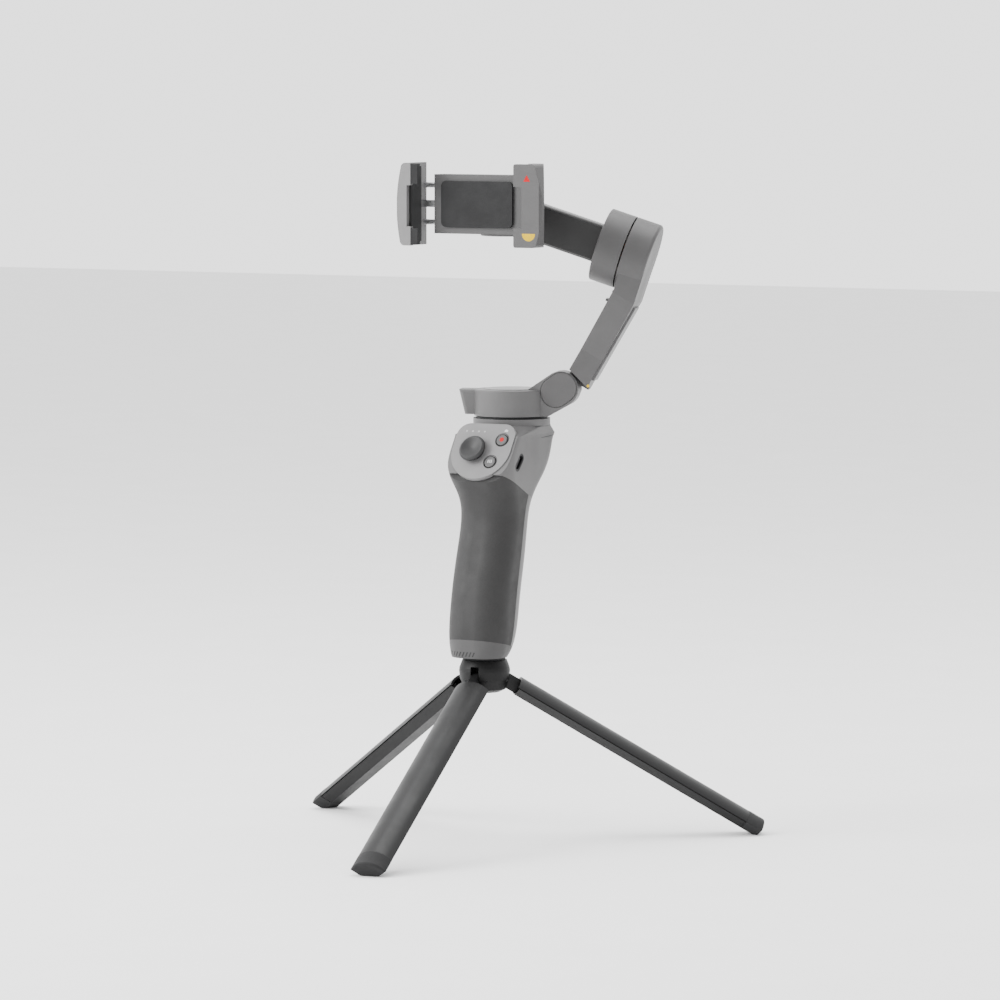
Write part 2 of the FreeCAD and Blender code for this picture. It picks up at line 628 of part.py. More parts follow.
def controls():
    """Panel, lights, buttons, joystick and their board, drawn in the panel's frame."""
    thick = S["panel_thick"]
    blank = extrude("panel_blank", "XY", panel_outline(), -thick, 0)
    openings = extrude("panel_openings", "XY", None, -12, 5, panel_holes())
    light_holes = [cylinder(f"light_hole{i}", 0.55, -0.9, 1, spot) for i, spot in enumerate(LIGHTS)]
    node("control_panel", cut("panel", blank, openings, *light_holes), PANEL)
    lights = doc.addObject("Part::Compound", "lights")
    lights.Links = [cylinder(f"light{i}", 0.55, -0.9, 0.02, spot) for i, spot in enumerate(LIGHTS)]
    node("status_lights", lights, PANEL)
    for name, x, y in (("record", S["record_x"], S["record_y"]), ("mode", S["mode_x"], S["mode_y"])):
        disc = cylinder(name + "_disc", S["button_radius"], -3.0, 0.45, (x, y))
        crowned = rounded(name + "_crowned", disc, 0.4, lambda e: e.CenterOfMass.z > 0.4)
        stem = cylinder(name + "_stem", 1.2, -5.2, -2.9, (x, y))
        node(name + "_button", fuse(name, crowned, stem), PANEL)
    stick_at = (S["stick_x"], S["stick_y"])
    pivot, across = S["stick_pivot"], (S["stick_x"], S["stick_pivot"])
    sideways = (S["stick_y"], S["stick_pivot"])
    plate = box("board_plate", (-14.5, 12.9), (-13, 12.5), (-7.6, -6.6))
    cup = cylinder("cup_wall", 6.6, pivot - 4.1, -6.6, stick_at)
    switches = [cylinder(f"switch{i}", 1.8, -7.0, -6.0, spot) for i, spot in enumerate(
        [(S["record_x"], S["record_y"]), (S["mode_x"], S["mode_y"])])]
    cup_bore = cylinder("cup_bore", 5.2, pivot - 3.1, -5, stick_at)
    cup_eyes = cylinder("cup_eyes", 0.65, S["stick_x"] - 6.8, S["stick_x"] + 6.8, sideways, "x")
    board = cut("board", fuse("board_blank", plate, cup, *switches), cup_bore, cup_eyes)
    node("control_board", board, PANEL)
    pivot_ring = ring("pivot_ring", 4.8, 3.4, pivot - 1.1, pivot + 1.1, stick_at)
    bar = cylinder("ring_pin_bar", 0.6, S["stick_x"] - 6.2, S["stick_x"] + 6.2, sideways, "x")
    trunnions = cut("ring_pins", bar, cylinder("ring_pin_gap", 3.6, -12, -6, stick_at))
    eyes = cylinder("ring_eyes", 0.65, -10, 10, across, "y")
    node("joystick_ring", cut("ring_eyed", fuse("ring_pinned", pivot_ring, trunnions), eyes), PANEL)
    ball = doc.addObject("Part::Sphere", "stick_ball")
    ball.Radius = 2.7
    locate(ball, (S["stick_x"], S["stick_y"], pivot))
    stem = cylinder("stick_stem", 1.9, pivot, 2.5, stick_at)
    pin = cylinder("stick_pin", 0.6, S["stick_y"] - 4.6, S["stick_y"] + 4.6, across, "y")
    radius = S["stick_radius"]
    cap = revolve("stick_cap", [
        (0, 1.7), (radius - 1.6, 1.7), (radius, 2.6), (radius - 0.1, 4.0), (radius - 0.9, 4.7),
        (0, 3.7)])
    locate(cap, (S["stick_x"], S["stick_y"], 0))
    node("joystick", fuse("stick", ball, stem, pin, cap), PANEL)


def side_controls():
    """USB socket on the right, zoom slider on the left and trigger at the back."""
    shell = cut("usb_shell", extrude("usb_outer", "YZ", stadium(4.75, 1.85), 13.2, 19.5),
                extrude("usb_inner", "YZ", stadium(4.3, 1.4), 14.0, 22))
    tongue = box("usb_tongue", (13.8, 18.8), (-3.3, 3.3), (-0.35, 0.35))
    node("usb_c_port", fuse("usb", shell, tongue), PORT)
    ridges = [box(f"ridge{i}", (-21.6, -20.6), (i * 1.6 - 0.35, i * 1.6 + 0.35), (-1.9, 1.9))
              for i in (-1, 0, 1)]
    knob = box("knob", (-20.9, -16.4), (-4.1, 4.1), (-2.3, 2.3))
    flange = box("flange", (-16.6, -15.9), (-6.0, 6.4), (-3.1, 3.1))
    node("zoom_slider", fuse("zoom", knob, flange, *ridges), ZOOM)
    pivot_y, pivot_z = TRIGGER_PIVOT
    lever = extrude("lever", "YZ", [
        (38.4, 192.4), (39.0, 189.4), (41.8, 189.9), (46.6, 196.4, -14), (50.2, 203.2, 12),
        (51.2, 210.4, 30), (46.0, 211.6), (43.0, 208.0), (43.6, 203.0)], -5.8, 5.8)
    trunnion = cylinder("trunnion", 1.2, -9.0, 9.0, (pivot_y, pivot_z), "x")
    node("trigger", fuse("trigger_part", lever, trunnion), HUB)


# ---------------------------------------------------------------- pan motor and hinge
BEARING_RADIUS = 4.05
ARM = PAN * shift(DIMS["hinge_x"], 0, DIMS["hinge_z"]) * turn((0, 1, 0), -DIMS["arm_slope"])


def bearing_pair(name, bore, outer, spans, at=(0, 0), axis="z"):
    pair = doc.addObject("Part::Compound", name)
    pair.Links = [ring(f"{name}_{i}", outer, bore, low, high, at, axis)
                  for i, (low, high) in enumerate(spans)]
    return pair


def pan_motor():
    """The stator stands on the head; housing, shaft and hinge knuckle turn above it."""
    radius, floor, roof = S["pan_radius"], S["pan_floor"], S["pan_roof"]
    wall, centre = S["motor_wall"], (0, S["pan_y"])
    bore = S["shaft_radius"] + S["shaft_clearance"]
    top = S["collar_top"]
    node("pan_base_plate", ring("base_plate", radius - 1.2, 5.3, top, top + 0.9, centre), HUB)
    tube = ring("pan_tube", 5.2, BEARING_RADIUS, top - 7.2, roof - 3.6, centre)
    core = ring("pan_core", radius - 4.9, 5.1, floor + 0.8, roof - 4.3, centre)
    node("pan_stator", fuse("pan_stator_part", tube, core), HUB)
    node("pan_bearings", bearing_pair("pan_races", bore, BEARING_RADIUS,
                                      [(top - 6.8, top - 3.8), (roof - 7.2, roof - 4.2)],
                                      centre), HUB)
    node("pan_shaft", cylinder("pan_axle", S["shaft_radius"], top - 7.6, roof - wall), PAN)
    drum = rounded("drum", cylinder("drum_blank", radius, floor, roof), 0.8,
                   lambda e: abs(e.CenterOfMass.z - number(roof)) < 0.1)
    hinge_x, hinge_z, boss = S["hinge_x"], S["hinge_z"], S["boss_radius"]
    knuckle = extrude("knuckle", "XZ", [
        (12, floor), (21.3, floor), (hinge_x + boss * 0.494, hinge_z - boss * 0.869),
        (hinge_x - boss * 0.559, hinge_z + boss * 0.829, boss), (10, roof)], -10.5, 1.4)
    wedge = extrude("wedge", "XZ", [
        (-14, floor + 0.8), (-14, roof), (-28.1, roof), (-24.9, floor + 0.8)], -7.5, 7.5)
    wedge = rounded("wedge_soft", wedge, 2.0,
                    lambda e: e.CenterOfMass.x < -20 and abs(e.CenterOfMass.y) > 7)
    cavity = cylinder("drum_cavity", radius - wall, floor - 1, roof - wall)
    lid_seat = cylinder("lid_seat", 15.0, roof - 0.8, roof + 2)
    pin_seat = cylinder("pin_seat", 2.4, -8.0, 3.0, (hinge_x, hinge_z), "y")
    cover_frame = shift(27.4, 0, number(hinge_z) - 0.9) * turn((0, 1, 0), -36)
    pocket = moved(extrude("hinge_pocket", "XZ", stadium(10.6, 8.5), -13, -10.1), cover_frame)
    housing = cut("housing", fuse("housing_blank", drum, knuckle, wedge), cavity, lid_seat,
                  pin_seat, pocket)
    node("pan_housing", housing, PAN)
    lid = rounded("lid_soft", cylinder("lid", 14.8, roof - 0.8, roof + 0.5), 0.4,
                  lambda e: e.CenterOfMass.z > number(roof))
    node("pan_lid", lid, PAN)
    node("hinge_pin", cylinder("pin", 2.4, -8.0, 9.4, (hinge_x, hinge_z), "y"), PAN)
    cover = rounded("hinge_lid_soft", extrude("hinge_lid", "XZ", stadium(10.2, 8.1), -10.9, -10.1),
                    0.3, lambda e: e.CenterOfMass.y < -10.85)
    node("hinge_cover", cover, PAN * cover_frame)


# ---------------------------------------------------------------- arm and roll motor
def in_roll(obj, frame):
    """Move a tool drawn in the roll motor's frame into another frame."""
    return moved(obj, frame.inverse() * ROLL)


def long_arm():
    """The arm from the hinge's lug up to the outer half of the roll motor."""
    inner, outer, depth = S["arm_inner"], S["arm_outer"], S["arm_half_depth"]
    seam = ARM.inverse().multVec(ROLL.Base)
    face = ARM.inverse().multVec(ROLL.multVec(Vector(DIMS["roll_thick"] + DIMS["seam_gap"], 0, 0)))
    side = extrude("arm_side", "XZ", [
        (5.1, -outer), (60, -outer), (face.x, face.z), (seam.x, seam.z - 1.2), (61.5, -inner),
        (5.1, -inner)], -25, 25)
    front = extrude("arm_front", "XY", [
        (-2, -depth), (24, -depth), (60, -16.5), (84, -18), (84, 18), (60, 16.5), (24, depth),
        (-2, depth)], -25, 25)
    lug = cylinder("arm_lug", S["lug_radius"], 1.8, depth, (0, 0), "y")
    disc = rounded("arm_disc", cylinder("arm_disc_blank", S["roll_radius"], S["seam_gap"],
                                        S["seam_gap"] + S["roll_thick"], (0, 0), "x"), 1.8,
                   lambda e: e.CenterOfMass.x > 14)
    hooks = [box("hook_low", (52.6, 53.9), (-3, 3), (1.0, 4.2)),
             box("hook_high", (58.4, 59.6), (-3, 3), (1.0, 3.3))]
    blank = fuse("arm_blank", common("arm_bar", side, front), lug, in_roll(disc, ARM), *hooks)
    # the near side's end is sloped so that it clears the knuckle when the arm is down
    near_end = moved(box("near_end", (-40, 10), (-30, 1.5), (-40, 40)), turn((0, 1, 0), 15.4))
    eye = cylinder("lug_eye", 2.45, -12, 12, (0, 0), "y")
    channel = box("channel", (15, 56), (-5.5, 5.5), (-outer - 1, -outer + 7))
    cavity = in_roll(cylinder("arm_cavity", S["roll_radius"] - 2, -3, 12.6, (0, 0), "x"), ARM)
    node("long_arm", cut("arm", blank, near_end, eye, channel, cavity), ARM)
    strip = extrude("arm_lid", "XY", [
        (12, -7.6), (57.5, -7.6), (57.5, 7.6), (12, 7.6)], -outer - 1.2, -outer)
    node("arm_back_cover", strip, ARM)
    tube = ring("roll_tube", 5.2, BEARING_RADIUS, -11.2, 12.6, (0, 0), "x")
    core = ring("roll_core", 15.6, 5.1, -10.8, -2, (0, 0), "x")
    node("roll_stator", fuse("roll_stator_part", tube, core), ROLL)
    bore = S["shaft_radius"] + S["shaft_clearance"]
    node("roll_bearings", bearing_pair("roll_races", bore, BEARING_RADIUS,
                                       [(-10.9, -7.9), (7, 10)], (0, 0), "x"), ROLL)


def roll_stage():
    """Inner half of the roll motor, the beam behind the phone and the fixed tilt motor."""
    gap, thick, radius = S["seam_gap"], S["roll_thick"], S["roll_radius"]
    drum = rounded("roll_drum", cylinder("roll_drum_blank", radius, -gap - thick, -gap, (0, 0), "x"),
                   0.8, lambda e: e.CenterOfMass.x < -14)
    cavity = cylinder("roll_cavity", radius - 2, -12.5, 1, (0, 0), "x")
    node("roll_housing", cut("roll_shell", drum, cavity), ROLL)
    node("roll_shaft", cylinder("roll_axle", S["shaft_radius"], -12.5, 11, (0, 0), "x"), ROLL)
    high, deep = S["roll_arm_half_height"], S["roll_arm_half_depth"]
    beam = box("beam_blank", (-S["tilt_reach"], -gap - thick), (-deep, deep), (-high, high))
    beam = rounded("beam_soft", beam, 1.2, lambda e: along(e, Vector(1, 0, 0)))
    tilt_in_roll = ROLL.inverse() * TILT
    low_zone = cylinder("low_zone", S["tilt_radius"], -60, -0.25)
    high_zone = cylinder("high_zone", S["tilt_radius"] + 0.6, -0.3, 60)
    zones = [moved(zone, tilt_in_roll) for zone in (low_zone, high_zone)]
    node("roll_arm", cut("beam", beam, *zones), ROLL)
    plate = extrude("beam_plate", "XZ", [
        (-49, -high + 1.3), (-15.2, -high + 1.3), (-15.2, high - 1.3), (-49, high - 1.3)],
        -deep - 0.7, -deep)
    node("roll_arm_cover", plate, ROLL)
    tilt_radius = S["tilt_radius"]
    can = rounded("tilt_can", cylinder("tilt_can_blank", tilt_radius, -14.8, -0.3), 1.0,
                  lambda e: e.CenterOfMass.z < -14)
    node("tilt_housing", cut("tilt_shell", can, cylinder("tilt_well", 13.8, -13, 1)), TILT)
    tube = ring("tilt_tube", 4.6, 3.45, -13, 9.4)
    core = ring("tilt_core", 12.4, 4.5, 1.0, 9.0)
    node("tilt_stator", fuse("tilt_stator_part", tube, core), TILT)
    node("tilt_bearings", bearing_pair("tilt_races", 1.52, 3.45, [(-12.5, -10), (6, 8.5)]), TILT)


# ---------------------------------------------------------------- phone clamp
def jaw_blank(name, side):
    """Front and plan outlines of a jaw meet in one block; side is 1 on the user's right."""
    tall, lip, grip_x = S["jaw_half_height"], S["lip_reach"], S["phone_half_width"] + 1.3
    front_face = -S["phone_thick"] - 3.0
    bay_face = -S["phone_thick"] - 0.2
    if side > 0:
        plan_points = [(lip, front_face), (45.2, front_face), (46.4, -11.0), (46.6, -9.0),
                       (39.8, 2.5), (36.8, 8.0), (31.0, 8.0), (31.0, 1.5), (grip_x, 1.5),
                       (grip_x, bay_face), (lip, bay_face)]
        profile = [(lip, -tall + 1.2), (lip + 1.2, -tall, 1.2), (41.2, -tall),
                   (43.7, -tall + 2.6, 2.8), (43.2, tall - 2.6, 62), (40.6, tall, 2.8),
                   (lip + 1.2, tall), (lip, tall - 1.2, 1.2)]
    else:
        reach = S["phone_half_width"] - 1.0
        plan_points = [(-reach, front_face), (-reach, bay_face), (-grip_x, bay_face),
                       (-grip_x, 9.0), (-40.4, 9.0), (-42.6, -8.0), (-42.4, front_face)]
        profile = [(-reach, tall), (-37.6, tall), (-40.0, tall - 2.6, 2.8),
                   (-40.6, -tall + 2.6, 90), (-38.2, -tall, 2.8), (-reach, -tall)]
    plan = extrude(name + "_plan", "XY", plan_points, -tall, tall)
    view = extrude(name + "_view", "XZ", profile, -20, 20)
    block = common(name + "_block", plan, view)
    low, high = (29, 34.6) if side > 0 else (-36.3, -29)
    notch = box(name + "_notch", (low, high), (-16, -9.0), (-12.0, 10.2))
    return cut(name, block, notch)


def clamp():
    """Rotor of the tilt motor, clamp body with its fixed jaw, and the sliding jaw."""
    gap = CLAMP.Base.y + 12.5 - TILT.Base.y
    cup = rounded("rotor_cup", cylinder("rotor_blank", S["tilt_radius"], 0.3, 12.5), 1.0,
                  lambda e: e.CenterOfMass.z > 12)
    well = cylinder("rotor_well", 13.8, -1, 10.9)
    strut = box("rotor_strut", (-9, 9), (gap, -12), (0.8, 12.0))
    axle = cylinder("rotor_axle", 1.5, -11, 11)
    rotor = fuse("rotor", cut("rotor_open", fuse("rotor_full", cup, strut), well), axle)
    node("tilt_rotor", rotor, TILT)
    rods = (-10.0, 10.0)
    rod_bores = [cylinder(f"rod_bore{i}", 1.56, -30, 17.5, (7, z), "x") for i, z in enumerate(rods)]
    spring_bore = cylinder("spring_bore", 3.8, -30, 14, (7, 0), "x")
    slab = rounded("slab", box("slab_blank", (-27, 31), (1.5, 12.5), (-16, 16)), 1.2,
                   lambda e: along(e, Vector(1, 0, 0)) and e.CenterOfMass.y > 10)
    node("clamp_body", cut("clamp_slab", slab, spring_bore, *rod_bores), CLAMP)
    pad = rounded("pad_soft", box("pad", (-22, 22), (0, 1.5), (-12.5, 12.5)), 3.0,
                  lambda e: along(e, Vector(0, 1, 0)))
    node("clamp_rest_pad", pad, CLAMP)
    node("fixed_jaw", jaw_blank("right_jaw", 1), CLAMP)
    inner, tall = S["phone_half_width"], S["jaw_half_height"]
    liner = box("right_liner", (inner, inner + 1.3), (-9.7, 1.2), (-tall + 2, tall - 2))
    node("fixed_jaw_pad", liner, CLAMP)
    tape_span = (4.5, 4.7), (-1.9, 1.9)
    left = cut("left_jaw_bored", jaw_blank("left_jaw", -1), box("tape_seat", (-38, -30), *tape_span),
               *[cylinder(f"rod_seat{i}", 1.5, -39.5, -30, (7, z), "x") for i, z in enumerate(rods)])
    node("moving_jaw", left, CLAMP)
    liner = box("left_liner", (-inner - 1.3, -inner), (-9.7, 1.2), (-tall + 2, tall - 2))
    tips = [box(f"lip_pad{i}", (-inner + 1.0, -S["lip_reach"]), (-12.3, -9.7), span)
            for i, span in enumerate([(-tall + 0.6, -13.0), (11.0, tall - 0.6)])]
    bridges = [box(f"lip_bridge{i}", (-inner - 0.6, -S["lip_reach"]), (-9.7, -9.5), span)
               for i, span in enumerate([(-tall + 2, -13.0), (11.0, tall - 2)])]
    node("moving_jaw_pads", fuse("left_pads", liner, *tips, *bridges), CLAMP)
    # the spring's tape runs from the jaw under its coil, which stays in the clamp body
    tape = box("tape", (-38, 1), *tape_span)
    guides = doc.addObject("Part::Compound", "guides")
    guides.Links = [tape] + [cylinder(f"rod{i}", 1.5, -39.5, 8, (7, z), "x")
                             for i, z in enumerate(rods)]
    node("jaw_guide_rods", guides, CLAMP)
    node("clamp_spring", ring("spring_coil", 2.3, 1.0, -1.9, 1.9, (-20, 7.3)), CLAMP)


# ---------------------------------------------------------------- build, check and write
def check_and_write():
    doc.recompute()
    failed = [obj.Name for obj in doc.Objects if "Invalid" in obj.State or "Error" in obj.State]
    if failed:
        raise RuntimeError("failed to compute: " + ", ".join(failed))
    os.makedirs("parts", exist_ok=True)
    for obj in NODES:
        shape = obj.Shape
        if shape.isNull() or not shape.isValid() or not shape.Solids:
            raise RuntimeError(f"{obj.Label} has no valid solid")
        shape.exportStep(os.path.join("parts", obj.Label + ".step"))
    print(len(NODES), "sub-parts written")


tripod_hub()
for leg_index in range(3):
    leg(leg_index)
head(*grip())
controls()
side_controls()
pan_motor()
long_arm()
roll_stage()
clamp()
check_and_write()
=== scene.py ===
import json
import math

import bmesh
import bpy
from mathutils import Matrix, Vector
from mathutils.bvhtree import BVHTree


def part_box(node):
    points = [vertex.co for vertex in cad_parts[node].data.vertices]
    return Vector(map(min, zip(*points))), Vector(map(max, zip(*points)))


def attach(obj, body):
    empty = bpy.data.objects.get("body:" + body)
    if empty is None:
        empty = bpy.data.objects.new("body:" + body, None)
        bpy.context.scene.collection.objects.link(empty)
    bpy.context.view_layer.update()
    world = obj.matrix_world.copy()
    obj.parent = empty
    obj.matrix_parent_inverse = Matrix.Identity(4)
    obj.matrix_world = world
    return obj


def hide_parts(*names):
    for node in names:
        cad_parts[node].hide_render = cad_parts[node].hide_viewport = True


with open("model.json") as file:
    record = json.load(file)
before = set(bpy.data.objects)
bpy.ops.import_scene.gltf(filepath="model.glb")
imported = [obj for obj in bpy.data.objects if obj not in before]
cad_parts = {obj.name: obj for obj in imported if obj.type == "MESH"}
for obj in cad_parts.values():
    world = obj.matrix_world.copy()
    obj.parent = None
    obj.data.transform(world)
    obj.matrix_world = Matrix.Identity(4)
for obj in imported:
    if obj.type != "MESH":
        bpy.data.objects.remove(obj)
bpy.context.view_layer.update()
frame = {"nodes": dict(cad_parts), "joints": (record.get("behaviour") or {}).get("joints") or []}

MM = 0.001
NODES = frame["nodes"]
JOINTS = {joint["name"]: joint for joint in frame["joints"]}


# ---------------------------------------------------------------- frames
def axes(origin, x_axis, z_axis):
    """Matrix that takes millimetres in a frame to metres, from its origin, X and Z directions."""
    x_axis = Vector(x_axis).normalized()
    z_axis = Vector(z_axis).normalized()
    y_axis = z_axis.cross(x_axis)
    turn = Matrix((x_axis, y_axis, z_axis)).transposed().to_4x4()
    return Matrix.Translation(origin) @ turn @ Matrix.Scale(MM, 4)


def middle(node):
    low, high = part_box(node)
    return (low + high) / 2


def joint_point(name):
    return Vector(JOINTS[name]["pos_m"])


def joint_axis(name):
    return Vector(JOINTS[name]["axis"])


PANEL_OUT = -joint_axis("record_press")
STICK = axes(joint_point("joystick_up_down"), joint_axis("joystick_up_down"), PANEL_OUT)
PIVOT_DEPTH = 8.9            # from the panel's face down to the joystick's pivot
BUTTON_TOP = 0.45            # how far the buttons stand above the panel
MARK_PROUD = 0.03            # how far a printed mark stands above its surface
MARK_SUNK = 0.05             # how far it reaches below, so that no gap shows
MARK_SLOPE = 0.01            # how much a mark's upper edge is drawn in
JAW_FRONT = -12.5            # along Y, from the rest pad's seat to the fixed jaw's front


def on_panel(x, y, height=0.0):
    """A frame on the panel's face, at a place measured from the joystick's axis."""
    return STICK @ Matrix.Translation((x, y, PIVOT_DEPTH + height))


def on_jaw(x, z):
    """A frame on the fixed jaw's front, X to the right and Z outwards, from the rest pad's middle."""
    low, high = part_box("clamp_rest_pad")
    centre = (low + high) / 2
    seat = Vector((centre.x, low.y, centre.z))
    return axes(seat + Vector((x, JAW_FRONT, z)) * MM, (1, 0, 0), (0, -1, 0))


# ---------------------------------------------------------------- mesh helpers
WELD = 1e-6                          # metres; vertices nearer than this are one
SHARP_ANGLE = math.radians(35)       # edges that turn more than this stay sharp


def add_mesh(name, verts, faces, place, smooth=True):
    mesh = bpy.data.meshes.new(name)
    mesh.from_pydata([place @ Vector(v) for v in verts], [], faces)
    mesh.validate()
    shape = bmesh.new()
    shape.from_mesh(mesh)
    bmesh.ops.remove_doubles(shape, verts=shape.verts, dist=WELD)
    bmesh.ops.recalc_face_normals(shape, faces=shape.faces)
    shape.to_mesh(mesh)
    shape.free()
    obj = bpy.data.objects.new(name, mesh)
    bpy.context.scene.collection.objects.link(obj)
    if smooth:
        for polygon in mesh.polygons:
            polygon.use_smooth = True
        mesh.set_sharp_from_angle(angle=SHARP_ANGLE)
    return obj


def lathe(name, profile, place, steps, ripple):
    """Turn a profile of radius and height; ripple changes the radius round the axis."""
    verts, faces = [], []
    for row, (radius, height) in enumerate(profile):
        for step in range(steps):
            angle = math.tau * step / steps
            reach = radius + ripple(row, step)
            verts.append((reach * math.cos(angle), reach * math.sin(angle), height))
    for row in range(len(profile) - 1):
        for step in range(steps):
            following = (step + 1) % steps
            faces.append((row * steps + step, row * steps + following,
                          (row + 1) * steps + following, (row + 1) * steps + step))
    faces.append(tuple(range(steps)))
    faces.append(tuple(range((len(profile) - 1) * steps, len(profile) * steps)))
    return add_mesh(name, verts, faces, place)


def printed(name, outline, place):
    """A thin printed mark from an outline, with its upper edge drawn in by a small slope."""
    count = len(outline)
    cx = sum(p[0] for p in outline) / count
    cy = sum(p[1] for p in outline) / count
    reach = max(math.hypot(x - cx, y - cy) for x, y in outline)
    rows = [(1.0, -MARK_SUNK), (1.0, MARK_PROUD - MARK_SLOPE),
            (1.0 - MARK_SLOPE / reach, MARK_PROUD)]
    verts = [(cx + (x - cx) * grow, cy + (y - cy) * grow, height)
             for grow, height in rows for x, y in outline]
    faces = [tuple(reversed(range(count))), tuple(range((len(rows) - 1) * count, len(rows) * count))]
    for row in range(len(rows) - 1):
        for i in range(count):
            j = (i + 1) % count
            faces.append((row * count + i, row * count + j,
                          (row + 1) * count + j, (row + 1) * count + i))
    return add_mesh(name, verts, faces, place, smooth=False)


def printed_ring(name, inner, outer, place):
    """A thin printed ring from its two radii."""
    steps = 64
    section = ((inner, -MARK_SUNK), (outer, -MARK_SUNK), (outer, MARK_PROUD), (inner, MARK_PROUD))
    verts, faces = [], []
    for radius, height in section:
        for x, y in arc(radius, 0, 360 - 360 / steps, steps - 1):
            verts.append((x, y, height))
    for row in range(len(section)):
        after = (row + 1) % len(section)
        for step in range(steps):
            following = (step + 1) % steps
            faces.append((row * steps + step, row * steps + following,
                          after * steps + following, after * steps + step))
    return add_mesh(name, verts, faces, place)


def arc(radius, first, last, steps):
    """Points round an arc about the origin, angles in degrees."""
    points = []
    for i in range(steps + 1):
        angle = math.radians(first + (last - first) * i / steps)
        points.append((radius * math.cos(angle), radius * math.sin(angle)))
    return points


def dot(radius):
    """The outline of a round mark."""
    return arc(radius, 0, 345, 23)


# ---------------------------------------------------------------- materials
class Look:
    """A material under construction; every texture is placed in the object's own metres."""

    def __init__(self, name):
        self.material = bpy.data.materials.new(name)
        self.material.use_nodes = True
        self.tree = self.material.node_tree
        self.shader = self.tree.nodes["Principled BSDF"]
        self.place = self.add("ShaderNodeTexCoord").outputs["Object"]

    def add(self, kind, **settings):
        made = self.tree.nodes.new(kind)
        for key, value in settings.items():
            setattr(made, key, value)
        return made

    def feed(self, target, source):
        if isinstance(source, bpy.types.NodeSocket):
            self.tree.links.new(source, target)
        else:
            target.default_value = source

    def noise(self, size_mm, detail=2.0, rough=0.5, place=None):
        made = self.add("ShaderNodeTexNoise")
        self.feed(made.inputs["Vector"], place or self.place)
        made.inputs["Scale"].default_value = 1.0 / (size_mm * MM)
        made.inputs["Detail"].default_value = detail
        made.inputs["Roughness"].default_value = rough
        return made.outputs["Fac"]

    def cells(self, size_mm):
        made = self.add("ShaderNodeTexVoronoi")
        self.feed(made.inputs["Vector"], self.place)
        made.inputs["Scale"].default_value = 1.0 / (size_mm * MM)
        return made.outputs["Distance"]

    def ramp(self, value, low, high, to_low, to_high):
        made = self.add("ShaderNodeMapRange")
        for key, number in zip(("Value", "From Min", "From Max", "To Min", "To Max"),
                               (value, low, high, to_low, to_high)):
            self.feed(made.inputs[key], number)
        return made.outputs["Result"]

    def maths(self, operation, first, second=0.0):
        made = self.add("ShaderNodeMath", operation=operation)
        self.feed(made.inputs[0], first)
        self.feed(made.inputs[1], second)
        return made.outputs[0]

    def position(self, origin_mm):
        """Millimetres along each axis from a point of the object."""
        made = self.add("ShaderNodeVectorMath", operation="MULTIPLY_ADD")
        self.feed(made.inputs[0], self.place)
        made.inputs[1].default_value = (1.0 / MM, 1.0 / MM, 1.0 / MM)
        made.inputs[2].default_value = [-c for c in origin_mm]
        split = self.add("ShaderNodeSeparateXYZ")
        self.feed(split.inputs[0], made.outputs["Vector"])
        return split.outputs

    def overlay(self, mask, tone):
        """Lay a second colour over the base colour where the mask is 1."""
        socket = self.shader.inputs["Base Color"]
        under = socket.links[0].from_socket
        self.feed(socket, self.mix(mask, under, shade(tone, 1.0)))

    def mix(self, factor, first, second):
        made = self.add("ShaderNodeMix", data_type="RGBA")
        self.feed(made.inputs["Factor"], factor)
        self.feed(made.inputs["A"], first)
        self.feed(made.inputs["B"], second)
        return made.outputs["Result"]

    def stretched(self, x, y, z):
        made = self.add("ShaderNodeMapping")
        self.feed(made.inputs["Vector"], self.place)
        made.inputs["Scale"].default_value = (x, y, z)
        return made.outputs["Vector"]

    def bump(self, height, depth_mm, strength=1.0, normal=None):
        made = self.add("ShaderNodeBump")
        self.feed(made.inputs["Height"], height)
        made.inputs["Distance"].default_value = depth_mm * MM
        made.inputs["Strength"].default_value = strength
        if normal is not None:
            self.feed(made.inputs["Normal"], normal)
        return made.outputs["Normal"]

    def soft_edges(self, radius_mm):
        made = self.add("ShaderNodeBevel", samples=4)
        made.inputs["Radius"].default_value = radius_mm * MM
        return made.outputs["Normal"]

    def edge_mask(self, radius_mm):
        """Near 1 on worn edges: where the softened normal leaves the true one."""
        flat, edge = 0.995, 0.80          # cosine of the angle between the two normals
        soft = self.soft_edges(radius_mm)
        true = self.add("ShaderNodeNewGeometry").outputs["Normal"]
        between = self.add("ShaderNodeVectorMath", operation="DOT_PRODUCT")
        self.feed(between.inputs[0], soft)
        self.feed(between.inputs[1], true)
        return self.ramp(between.outputs["Value"], flat, edge, 0.0, 1.0)


def shade(tone, factor):
    """A tone made lighter or darker, as a colour with alpha."""
    return tuple(min(1.0, c * factor) for c in tone) + (1.0,)


